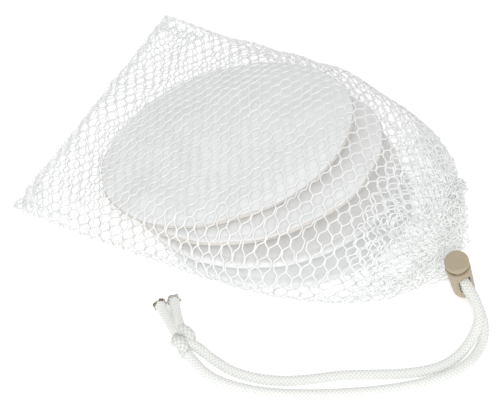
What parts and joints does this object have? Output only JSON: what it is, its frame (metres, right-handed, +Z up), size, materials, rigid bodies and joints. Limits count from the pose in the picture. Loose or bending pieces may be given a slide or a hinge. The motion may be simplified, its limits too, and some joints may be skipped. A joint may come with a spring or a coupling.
{
  "type": "mesh produce bag",
  "caption": "Drawstring bag of hexagonal net, drawn shut round a fanned stack of round fabric pads, with a push-button cord lock on its knotted cord.",
  "frame": {"origin": "centre of the bag's own box on the surface that it rests on, with the free cord left out", "axes": "+X from the sewn bottom to the gathered mouth, +Y from the front edge to the back edge, +Z up"},
  "size_m": [0.2392, 0.2111, 0.0448],
  "materials": {
    "net": "white knitted polyester net, slightly glossy yarn",
    "cord": "white braided polyester cord",
    "pad_fabric": "soft matt white fabric with a stitched rim",
    "lock_plastic": "beige moulded plastic, satin",
    "spring_steel": "plain spring wire"
  },
  "bodies": {
    "bag": {"mesh_top_panel": "net", "mesh_bottom_panel": "net", "bottom_seam": "net", "side_seam_front": "net", "side_seam_back": "net", "drawstring_channel": "net", "mouth_ruffle": "net", "drawcord_loop": "cord", "drawcord_strand_inner": "cord", "drawcord_strand_outer": "cord", "drawcord_knot": "cord", "drawcord_tail_inner": "cord", "drawcord_tail_outer": "cord", "round_pad_1": "pad_fabric", "round_pad_2": "pad_fabric", "round_pad_3": "pad_fabric", "round_pad_4": "pad_fabric"},
    "lock": {"lock_barrel": "lock_plastic", "lock_spring": "spring_steel"},
    "button": {"lock_plunger": "lock_plastic"}
  },
  "joints": [
    {"name": "lock_slide", "type": "slide", "parent": "bag", "child": "lock", "axis": [0.8067, -0.5746, -0.1382], "range_m": [0, 0.005]},
    {"name": "button_press", "type": "slide", "parent": "lock", "child": "button", "axis": [0.07, 0.325, -0.9431], "range_m": [0, 0.0018], "stiffness_N_per_m": 600, "springref_m": -0.0008, "deforming": ["lock_spring"]}
  ]
}
